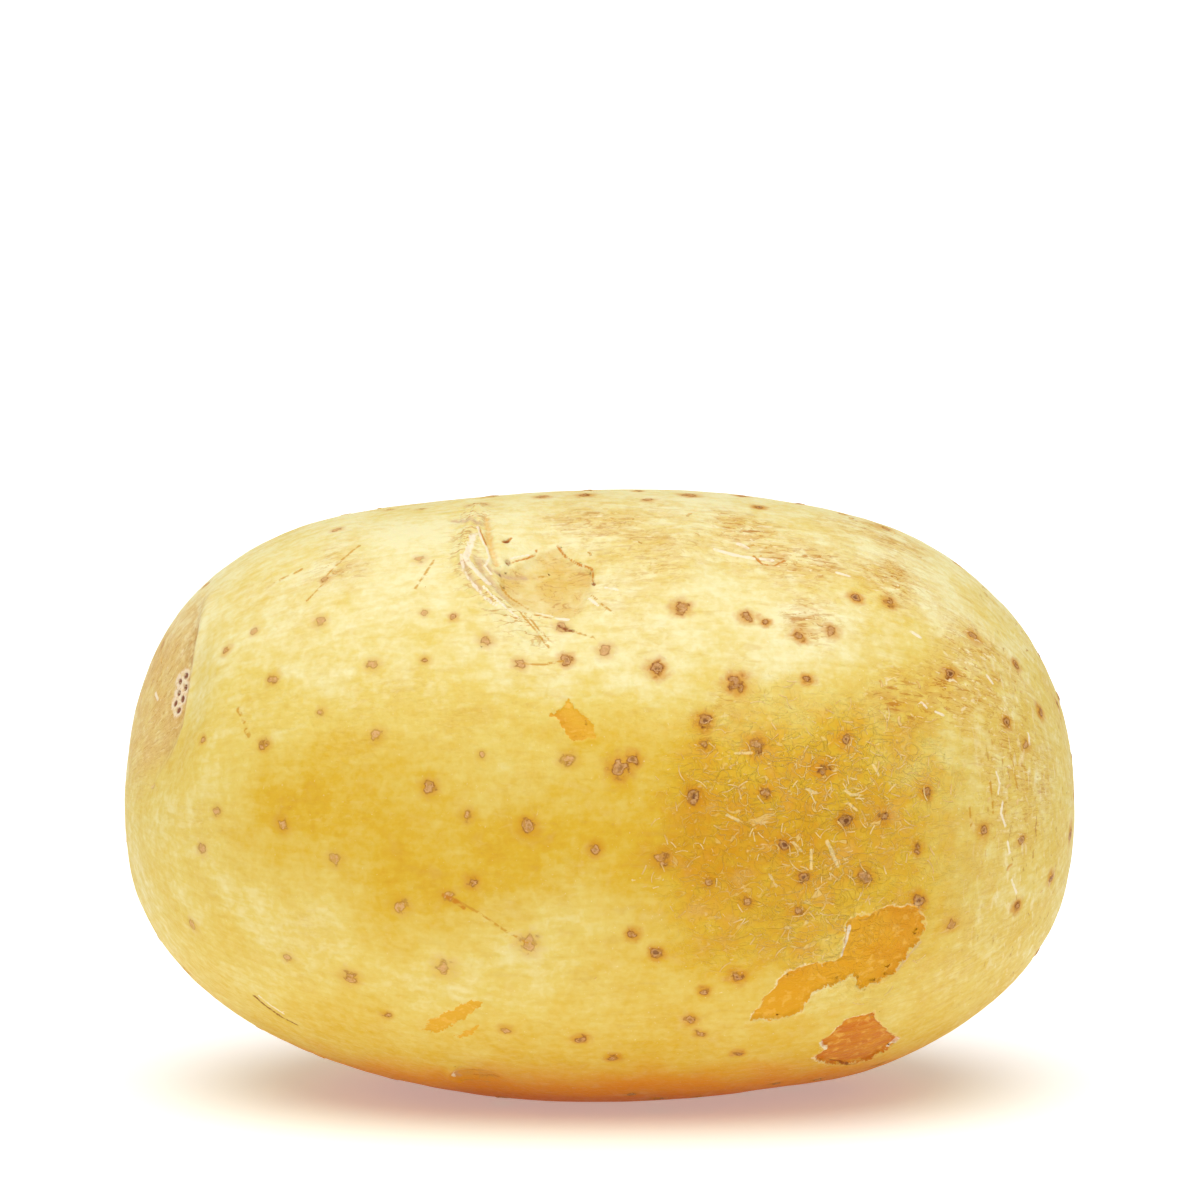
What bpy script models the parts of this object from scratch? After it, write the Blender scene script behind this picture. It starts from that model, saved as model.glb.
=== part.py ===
"""A whole table potato, unpeeled, lying on its side on a small flat spot.

Metres, +Z up. The stem end, where the tuber hung from its stolon, is at -X and the rose end at +X.
The front is at -Y. The origin is under the middle of the potato, on the surface that it rests on.
A potato grows as one piece, so it is one solid.
"""

import math

import bmesh
import bpy
from mathutils import Vector

# Driving dimensions.
LENGTH = 0.100  # stem end to rose end
WIDTH = 0.068  # front to back
HEIGHT = 0.0638  # resting spot to top
REST_PRESS = 0.0007  # how much of its round underside the resting spot takes off
GRID = 28  # squares along each edge of the cube that the body is blown up from

# The plain body: round across its girth, with squared shoulders. 2 is a true ellipse, and more is squarer.
BELLY_SHARE = 0.477  # part of the height that lies below the widest level
SHOULDER_STEM_TOP = 2.78
SHOULDER_ROSE_TOP = 2.5
SHOULDER_STEM_BOTTOM = 2.17
SHOULDER_ROSE_BOTTOM = 2.4
QUARTER_BLEND = 2.5  # how quickly one quarter's squareness turns into the next one's

# Broad uneven growth: (degrees from the rose end up over the top, degrees towards the front, height, spread).
SWELLINGS = (
    (42, 0, 0.0005, 0.009),  # high shoulder above the rose end
    (120, 0, -0.0006, 0.011),  # slack shoulder above the stem end
    (24, 10, -0.0003, 0.008),
    (314, 0, 0.0006, 0.006),  # heel below the rose end
    (297, 0, -0.0012, 0.008),
    (150, 55, 0.0005, 0.014),
    (20, 60, 0.0008, 0.013),
    (90, 40, -0.0006, 0.012),
    (60, -50, 0.0010, 0.015),  # the back is a little lumpier
    (125, -65, -0.0009, 0.013),
    (200, -50, 0.0009, 0.014),
    (330, -60, -0.0008, 0.012),
)

# Stem end: the hollow where the stolon was, with a lip along its front edge.
STEM_TILT_UP = 14  # degrees above the long axis
STEM_TILT_FRONT = 16  # degrees towards the front
STEM_HOLLOW_RADIUS = 0.008
STEM_HOLLOW_DEPTH = 0.0022
STEM_HOLLOW_EDGE = 3  # power of the fall-off: a higher one gives a flatter floor and a crisper rim
STEM_LIP_RADIUS = 1.25 * STEM_HOLLOW_RADIUS
STEM_LIP_HEIGHT = 0.0006
STEM_LIP_WIDTH = 0.0025

# Eyes: (degrees from the rose end up over the top, degrees towards the front, size as a share of the largest).
EYES = (
    (102, 34, 1.0),
    (62, 28, 0.6),
    (62, -38, 0.9),
    (118, -40, 0.8),
    (150, -75, 0.7),
    (40, -78, 0.9),
    (16, -20, 0.7),
    (352, 28, 0.5),
    (212, -30, 0.8),
    (300, -45, 0.7),
    (245, 30, 0.5),
)
EYE_LENGTH = 0.0055  # along the potato
EYE_BREADTH = 0.0075  # across it
EYE_DEPTH = 0.0013
BROW_HEIGHT = 0.0007  # the leaf scar, a curved ridge on the eye's stem side
BROW_RADIUS = 0.0065
BROW_WIDTH = 0.0022
BROW_HALF_ANGLE = 60  # degrees either side of the line to the stem end
EYE_REACH = 4 * BROW_RADIUS  # an eye changes nothing farther off

SKIN_COLOUR = (0.74, 0.54, 0.20, 1.0)
SKIN_ROUGHNESS = 0.55


def clear_scene():
    for thing in list(bpy.context.scene.objects):
        bpy.data.objects.remove(thing, do_unlink=True)


def direction(round_degrees, front_degrees):
    """A unit vector: round from the rose end over the top, then leaned towards the front."""
    turn, lean = math.radians(round_degrees), math.radians(front_degrees)
    return Vector((math.cos(turn) * math.cos(lean), -math.sin(lean), math.sin(turn) * math.cos(lean)))


def body_point(aim):
    """The point of the plain body in this direction from its middle."""
    rose = 0.5 + 0.5 * math.tanh(QUARTER_BLEND * aim.x)
    top = 0.5 + 0.5 * math.tanh(QUARTER_BLEND * aim.z)
    upper = (1 - rose) * SHOULDER_STEM_TOP + rose * SHOULDER_ROSE_TOP
    lower = (1 - rose) * SHOULDER_STEM_BOTTOM + rose * SHOULDER_ROSE_BOTTOM
    power = top * upper + (1 - top) * lower
    half_height = HEIGHT * ((1 - BELLY_SHARE) if aim.z > 0 else BELLY_SHARE)
    girth = math.hypot(aim.y / (WIDTH / 2), aim.z / half_height)
    reach = (abs(aim.x / (LENGTH / 2)) ** power + girth**power) ** (-1 / power)
    return aim * reach


AIM_STEP = 0.02  # how far apart, as directions, the points are that show a slope


def bell(distance, spread):
    return math.exp(-((distance / spread) ** 2))


def surface_axes(aim):
    """The outward, along-the-length and across-the-length directions of the body at this place."""
    spot = body_point(aim)
    side = aim.cross(Vector((1, 0, 0))).normalized()
    forward = side.cross(aim).normalized()
    run = body_point((aim + forward * AIM_STEP).normalized()) - spot
    rise = body_point((aim + side * AIM_STEP).normalized()) - spot
    outward = run.cross(rise).normalized()
    if outward.dot(aim) < 0:
        outward.negate()
    along = (Vector((1, 0, 0)) - outward * outward.x).normalized()
    return spot, outward, along, outward.cross(along)


def swelling_height(point, swelling):
    round_degrees, front_degrees, height, spread = swelling
    return height * bell((point - body_point(direction(round_degrees, front_degrees))).length, spread)


def stem_hollow_height(point, place):
    """Down into the hollow, and up along the lip on the front side of its rim."""
    spot, outward, _along, _across = place
    offset = point - spot
    flat = offset - outward * offset.dot(outward)
    sink = STEM_HOLLOW_DEPTH * math.exp(-((flat.length / STEM_HOLLOW_RADIUS) ** STEM_HOLLOW_EDGE))
    front = max(0.0, -flat.normalized().y)
    lip = STEM_LIP_HEIGHT * front * bell(flat.length - STEM_LIP_RADIUS, STEM_LIP_WIDTH)
    return lip - sink


def eye_height(point, place, size):
    """Down into the eye, and up along the brow on its stem side."""
    spot, _outward, along, across = place
    offset = point - spot
    if offset.length > EYE_REACH:
        return 0.0
    run, rise = offset.dot(along), offset.dot(across)
    sink = EYE_DEPTH * math.exp(-((run / EYE_LENGTH) ** 2) - (rise / EYE_BREADTH) ** 2)
    turn = math.degrees(math.atan2(rise, -run))
    brow = BROW_HEIGHT * bell(math.hypot(run, rise) - BROW_RADIUS, BROW_WIDTH) * bell(turn, BROW_HALF_ANGLE)
    return (brow - sink) * size


def grown_point(aim, stem_place, eye_places):
    """The body with its swellings, its stem hollow and its eyes."""
    point = body_point(aim)
    height = sum(swelling_height(point, swelling) for swelling in SWELLINGS)
    height += stem_hollow_height(point, stem_place)
    height += sum(eye_height(point, place, size) for place, size in eye_places)
    return point + aim * height


def build_potato():
    shape = bmesh.new()
    bmesh.ops.create_cube(shape, size=2)
    bmesh.ops.subdivide_edges(shape, edges=shape.edges[:], cuts=GRID - 1, use_grid_fill=True)
    stem_place = surface_axes(direction(180 - STEM_TILT_UP, STEM_TILT_FRONT))
    eye_places = [(surface_axes(direction(turn, lean)), size) for turn, lean, size in EYES]
    for corner in shape.verts:
        # The tangent spaces the squares evenly once the cube is round.
        round_corner = Vector([math.tan(part * math.pi / 4) for part in corner.co]).normalized()
        corner.co = grown_point(round_corner, stem_place, eye_places)

    # Stretched to the driving sizes and set over the origin, then pressed flat where it rests.
    low = Vector([min(corner.co[axis] for corner in shape.verts) for axis in range(3)])
    high = Vector([max(corner.co[axis] for corner in shape.verts) for axis in range(3)])
    middle = (low + high) / 2
    full_height = HEIGHT + REST_PRESS
    stretch = Vector((LENGTH, WIDTH, full_height))
    for corner in shape.verts:
        placed = [(corner.co[axis] - middle[axis]) * stretch[axis] / (high - low)[axis] for axis in range(3)]
        corner.co = placed[0], placed[1], max(0.0, placed[2] + full_height / 2 - REST_PRESS)
    bmesh.ops.recalc_face_normals(shape, faces=shape.faces[:])

    mesh = bpy.data.meshes.new("potato")
    shape.to_mesh(mesh)
    shape.free()
    mesh.shade_smooth()
    potato = bpy.data.objects.new("potato", mesh)
    bpy.context.collection.objects.link(potato)
    return potato


def skin_material():
    material = bpy.data.materials.new("potato_skin")
    material.use_nodes = True
    shader = material.node_tree.nodes["Principled BSDF"]
    shader.inputs["Base Color"].default_value = SKIN_COLOUR
    shader.inputs["Roughness"].default_value = SKIN_ROUGHNESS
    shader.inputs["Metallic"].default_value = 0.0
    material.diffuse_color = SKIN_COLOUR
    return material


clear_scene()
build_potato().data.materials.append(skin_material())
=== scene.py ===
import math
import random

import bmesh
import bpy
import numpy as np
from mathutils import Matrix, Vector
from mathutils.bvhtree import BVHTree


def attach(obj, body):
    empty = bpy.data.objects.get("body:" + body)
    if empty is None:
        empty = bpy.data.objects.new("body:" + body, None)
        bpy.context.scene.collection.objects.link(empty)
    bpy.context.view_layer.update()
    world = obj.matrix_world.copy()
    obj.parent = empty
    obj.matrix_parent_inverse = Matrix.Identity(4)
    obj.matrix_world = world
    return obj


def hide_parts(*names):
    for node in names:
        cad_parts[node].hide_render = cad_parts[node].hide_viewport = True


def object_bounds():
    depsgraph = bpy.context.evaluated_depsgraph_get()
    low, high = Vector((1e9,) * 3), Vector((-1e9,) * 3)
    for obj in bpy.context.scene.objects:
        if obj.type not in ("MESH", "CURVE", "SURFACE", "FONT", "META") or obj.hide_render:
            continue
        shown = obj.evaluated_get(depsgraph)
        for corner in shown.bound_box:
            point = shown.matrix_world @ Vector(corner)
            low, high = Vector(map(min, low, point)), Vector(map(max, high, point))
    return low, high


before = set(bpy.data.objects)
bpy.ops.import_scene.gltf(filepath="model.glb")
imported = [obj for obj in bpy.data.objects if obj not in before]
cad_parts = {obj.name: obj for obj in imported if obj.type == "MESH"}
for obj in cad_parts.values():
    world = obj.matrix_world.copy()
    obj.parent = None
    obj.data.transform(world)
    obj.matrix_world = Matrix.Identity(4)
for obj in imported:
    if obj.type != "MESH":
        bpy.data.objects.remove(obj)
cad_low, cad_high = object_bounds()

# --------------------------------------------
# Camera. A long lens, a little above the table, looks at the potato's long side and leaves
# plenty of clear room above it.
# --------------------------------------------
CAMERA_ELEVATION = math.radians(7)
CAMERA_DISTANCE = 0.70
VIEW_WIDTH = 0.1267  # what the picture takes in at the potato's middle
VIEW_RISE = 0.0203  # how far above the potato's middle the picture's centre lies
SENSOR_WIDTH = 36.0

middle = (cad_low + cad_high) / 2
towards_camera = Vector((0, -math.cos(CAMERA_ELEVATION), math.sin(CAMERA_ELEVATION)))
picture_right = Vector((1, 0, 0))
picture_up = towards_camera.cross(picture_right)


def in_scene(name, data):
    """Adds an object to the scene."""
    made = bpy.data.objects.new(name, data)
    bpy.context.scene.collection.objects.link(made)
    return made


lens = bpy.data.cameras.new("camera")
lens.sensor_width = SENSOR_WIDTH
lens.lens = SENSOR_WIDTH * CAMERA_DISTANCE / VIEW_WIDTH
camera = in_scene("camera", lens)
camera.location = middle + picture_up * VIEW_RISE + towards_camera * CAMERA_DISTANCE
camera.rotation_euler = towards_camera.to_track_quat("Z", "Y").to_euler()
bpy.context.scene.camera = camera
bpy.context.scene.view_settings.view_transform = "Standard"


# --------------------------------------------
# Studio. A white acrylic table that glows faintly from below, under one large overhead softbox.
# The pale surroundings are dimmer at head height, so the potato's side is deeper in colour.
# --------------------------------------------
def colour(hex_code):
    """Linear RGBA of an sRGB hex colour."""
    parts = [int(hex_code[i : i + 2], 16) / 255 for i in (0, 2, 4)]
    return (*[p / 12.92 if p <= 0.04045 else ((p + 0.055) / 1.055) ** 2.4 for p in parts], 1.0)


def connect(node, links):
    """Fills a node's inputs with values or other nodes' outputs."""
    for socket, source in links.items():
        if isinstance(source, bpy.types.NodeSocket):
            node.id_data.links.new(source, node.inputs[socket])
        else:
            node.inputs[socket].default_value = source


def add(tree, kind, links=None, out=0, **settings):
    """Adds a node, sets its properties, connects its inputs and gives one output."""
    node = tree.nodes.new(kind)
    for name, value in settings.items():
        setattr(node, name, value)
    connect(node, links or {})
    return node.outputs[out]


TABLE_SIZE = 24.0
TABLE_GLOW = 0.28
SUN_STRENGTH = 2.87
SUN_SOFTNESS = math.radians(75)
SUN_FROM = Vector((-0.04, -0.26, 1.0))
# Brightness of the surroundings, from the horizon up to nearly overhead.
SKY_STOPS = [(0.10, "FFFFFF"), (0.22, "505050"), (0.55, "616161"), (0.85, "BCBCBC")]

table_mesh = bpy.data.meshes.new("table")
half_table = TABLE_SIZE / 2
table_corners = [(-half_table, -half_table, 0), (half_table, -half_table, 0), (half_table, half_table, 0)]
table_mesh.from_pydata([*table_corners, (-half_table, half_table, 0)], [], [(0, 1, 2, 3)])
table = in_scene("table", table_mesh)
table_paint = bpy.data.materials.new("matt_white_acrylic")
table_paint.use_nodes = True
connect(table_paint.node_tree.nodes["Principled BSDF"], {
    "Base Color": colour("F8F8F8"), "Roughness": 0.9,
    "Emission Color": colour("FFFFFF"), "Emission Strength": TABLE_GLOW,
})
table_mesh.materials.append(table_paint)

sun_lamp = bpy.data.lights.new("softbox", "SUN")
sun_lamp.energy = SUN_STRENGTH
sun_lamp.angle = SUN_SOFTNESS
sun = in_scene("softbox", sun_lamp)
sun.rotation_euler = SUN_FROM.to_track_quat("Z", "Y").to_euler()

world = bpy.data.worlds.new("pale_studio")
world.use_nodes = True
bpy.context.scene.world = world
sky = world.node_tree
sky_place = add(sky, "ShaderNodeTexCoord", out="Generated")
sky_height = add(sky, "ShaderNodeSeparateXYZ", {0: sky_place}, out="Z")
sky_colour = add(sky, "ShaderNodeValToRGB", {"Fac": sky_height})
sky_elements = sky_colour.node.color_ramp.elements
for height, shade in SKY_STOPS:
    sky_elements.new(height).color = colour(shade)
sky_elements.remove(sky_elements[0])
sky_elements.remove(sky_elements[-1])
connect(sky.nodes["Background"], {"Color": sky_colour})


# --------------------------------------------
# The tuber. One firm, thin-skinned body, grown in one piece. Its smooth shape is the packed
# solid's, rounded off; the relief of the skin is worked onto it below.
# --------------------------------------------
MM = 0.001
SAME_POINT = 0.01 * MM
# How far two triangles may bend, and their outline may be from a square, and still be joined: radians.
JOIN_BEND = 0.7
JOIN_SHAPE = 0.9


def rounded_body(levels):
    """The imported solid's mesh with its facets rounded off, as a bmesh."""
    cage = bmesh.new()
    cage.from_mesh(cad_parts["potato"].data)
    bmesh.ops.remove_doubles(cage, verts=cage.verts[:], dist=SAME_POINT)
    limits = {"angle_face_threshold": JOIN_BEND, "angle_shape_threshold": JOIN_SHAPE}
    bmesh.ops.join_triangles(cage, faces=cage.faces[:], **limits)
    mesh = bpy.data.meshes.new("cage")
    cage.to_mesh(mesh)
    cage.free()
    holder = in_scene("cage", mesh)
    rounding = holder.modifiers.new("rounding", "SUBSURF")
    rounding.levels = levels
    rounding.render_levels = levels
    bpy.context.view_layer.update()
    rounded = bmesh.new()
    rounded.from_object(holder, bpy.context.evaluated_depsgraph_get())
    bpy.data.objects.remove(holder)
    return rounded


smooth_body = rounded_body(2)
smooth_tree = BVHTree.FromBMesh(smooth_body)
smooth_body.free()


def seen_at(across, up):
    """The place on the skin seen this many mm right of and above the potato's middle."""
    target = middle + (picture_right * across + picture_up * up) * MM
    return smooth_tree.ray_cast(camera.location, (target - camera.location).normalized())[0]


def facing(turn, lean):
    """The place this many degrees round from the rose end over the top, leaned to the front."""
    turn, lean = math.radians(turn), math.radians(lean)
    ray = Vector((math.cos(turn) * math.cos(lean), -math.sin(lean), math.sin(turn) * math.cos(lean)))
    return smooth_tree.ray_cast(middle, ray)[0]


def local_map(anchor, turn=0.0):
    """A function that lays (along, across) in mm on the skin round an anchor, along to the rose end."""
    outward = smooth_tree.find_nearest(anchor)[1]
    along = (Vector((1, 0, 0)) - outward * outward.x).normalized()
    across = outward.cross(along)
    spin = math.radians(turn)
    first = along * math.cos(spin) + across * math.sin(spin)
    second = across * math.cos(spin) - along * math.sin(spin)
    return lambda x, y: smooth_tree.find_nearest(anchor + (first * x + second * y) * MM)[0]


def in_mm(places):
    return np.array([tuple(place) for place in places]) / MM


def on_skin(line):
    """The places on the skin seen at these points, in mm."""
    return in_mm([seen_at(*point) for point in line])


# Lenticels, the potato's breathing pores: corky spots 0.7 to 1.7 mm wide, (across, up, width) in mm.
# Those that show from the front are placed one by one.
LENTICELS = [
    (-29.5, 18, 1), (-24, 13.5, 1), (-23.5, 6, 1.1), (-34.5, 12, 1), (-35.5, 5, 1),
    (-42, 5.5, 0.7), (-36.5, 17, 0.8), (-29, 22.5, 0.8), (-29.5, 8.5, 0.8), (-18.5, 14, 0.8),
    (-19, 24.5, 1), (-39.5, 15, 0.8), (-18, 0.5, 1.2), (-40.5, -2, 0.9), (-33.5, -3.5, 1.2),
    (-14, -2.5, 1), (-42, -6, 1), (-28, -7, 1.1), (-13.5, -9.5, 1), (-21, -12, 1.3),
    (-16, -11, 1), (-7.5, -16, 1.6), (-16.5, -18.5, 1.5), (-26.5, -19.5, 1.4), (-33, -17.5, 0.9),
    (-43, -14, 1.1), (-7.5, -3.5, 1.3), (-12.5, 4, 0.7), (-3.5, 3.5, 1.2), (2, 2.5, 1.7),
    (3.5, 3.5, 1.1), (-0.5, -6, 1), (10, -0.5, 1.3), (6.5, -7, 1.3), (3.5, -15, 1),
    (6, -17, 1.1), (11.5, -9.5, 0.9), (15.5, -11.5, 1), (14.5, -19.5, 1.3), (11, -21, 0.9),
    (9.5, -24, 1.1), (10.5, -25.5, 0.9), (17.5, 0, 1), (16.5, 5, 1.5), (11, 7.5, 1.3),
    (19.5, -5.5, 1), (-4, 17.5, 1.1), (-8.5, 13.5, 1), (-3.5, 14, 1.1), (0.5, 15, 1.2),
    (6, 13, 1.4), (14.5, 11.5, 1.6), (8.5, 19.5, 1.4), (15.5, 18.5, 1.2), (17.5, 18, 0.8),
    (-12, 16, 1.1), (-18.5, 19, 0.7), (-15.5, 18.5, 0.8), (27, 20.5, 1), (30.5, 20, 1.1),
    (24.5, 17, 1.1), (39.5, 16.5, 1.2), (44, 13.5, 1), (21, 16.5, 1.1), (22, 12, 0.9),
    (37, 12.5, 1.2), (46.5, 8.5, 1.1), (43, 7.5, 1), (45, 5, 0.9), (26, 5.5, 1.1),
    (23.5, 2.5, 1.4), (26, -3, 1.3), (33.5, -6, 1), (34.5, 0, 1), (30, -2.5, 1.1),
    (40.5, -4, 1.1), (21.5, -9, 1), (28, -9, 1.4), (21, -12.5, 0.9), (33.5, -11.5, 1.3),
    (37, -14, 1.1), (44.5, -5, 0.9), (47.5, -9, 1), (44, -12, 1), (-22.5, -23.5, 0.9),
    (-10, -25, 1), (-2, -26, 1.2), (1.5, -28, 1.1), (14.5, -27.5, 1), (11, 5, 1),
]
# The rest are scattered over the sides that don't show from the front.
HIDDEN_LENTICELS = 190
HIDDEN_SPACING = 4.2
HIDDEN_WIDTHS = (0.7, 1.5)
FRONT_EDGE = 0.30  # how squarely skin must face the camera to count as the front
pore_draw = random.Random(7)
pores = [(in_mm([seen_at(across, up)])[0], width / 2) for across, up, width in LENTICELS]
while len(pores) < len(LENTICELS) + HIDDEN_LENTICELS:
    ray = Vector([pore_draw.gauss(0, 1) for _ in range(3)]).normalized()
    place, outward, _, _ = smooth_tree.ray_cast(middle, ray)
    spot = in_mm([place])[0]
    clear = min(np.linalg.norm(spot - other) for other, _ in pores) > HIDDEN_SPACING
    if clear and outward.dot(towards_camera) < FRONT_EDGE:
        pores.append((spot, pore_draw.uniform(*HIDDEN_WIDTHS) / 2))
pore_centres = np.array([spot for spot, _ in pores])
pore_radii = np.array([radius for _, radius in pores])
pore_tones = np.array([pore_draw.random() for _ in pores])

# Places where the skin is torn or rubbed off and the flesh shows: (depth in mm, outline in mm).
TORN_LARGE = [
    (15.6, -24.1), (18.1, -20.9), (20.1, -18.6), (23.3, -18), (25.6, -17.3), (26.1, -13.8), (27.2, -13.1),
    (30.1, -12.1), (33.3, -11.7), (34.3, -13.1), (33.6, -15.7), (32.4, -17), (31.1, -18.9), (27.2, -20.9),
    (26.9, -18.9), (24.7, -20.3), (22.3, -21.2), (21.1, -23.1), (19.5, -23.8),
]
TORN_LOW = [
    (28.8, -23.1), (29.1, -24.1), (31.5, -25.9), (30.5, -27), (28.1, -28.3), (24.7, -28.8), (22.3, -28),
    (24, -27), (23.3, -26.4), (25.9, -24.1), (28.1, -23.3),
]
RUBBED_STAR = [
    (-5.2, 8.2), (-4, 8.7), (-3.3, 10.1), (-2.5, 8.7), (-1.2, 7.6), (-0.2, 5.6), (-2.9, 5.4), (-4, 6.8),
]
RUBBED_LONG = [
    (-18.8, -25), (-17.9, -23.9), (-13.7, -21.9), (-12, -22.1), (-14.5, -24), (-17.3, -25.3),
]
RUBBED_SMALL = [(-15.4, -25.6), (-12.8, -24.5), (-13.3, -25.2), (-14.5, -26)]


def moved_outline(outline, place, scale=1.0):
    """The outline laid round another place, about its own middle."""
    centre = np.mean(outline, axis=0)
    return [place(*((np.array(point) - centre) * scale)) for point in outline]


tears = [
    (0.22, on_skin(TORN_LARGE)),
    (0.25, on_skin(TORN_LOW)),
    (0.08, on_skin(RUBBED_STAR)),
    (0.08, on_skin(RUBBED_LONG)),
    (0.06, on_skin(RUBBED_SMALL)),
    (0.18, in_mm(moved_outline(TORN_LOW, local_map(facing(120, -62), 40), 0.9))),
    (0.10, in_mm(moved_outline(RUBBED_LONG, local_map(facing(50, -55), -25), 1.1))),
    (0.10, in_mm(moved_outline(RUBBED_STAR, local_map(facing(205, -35), 10), 0.9))),
]

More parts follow.
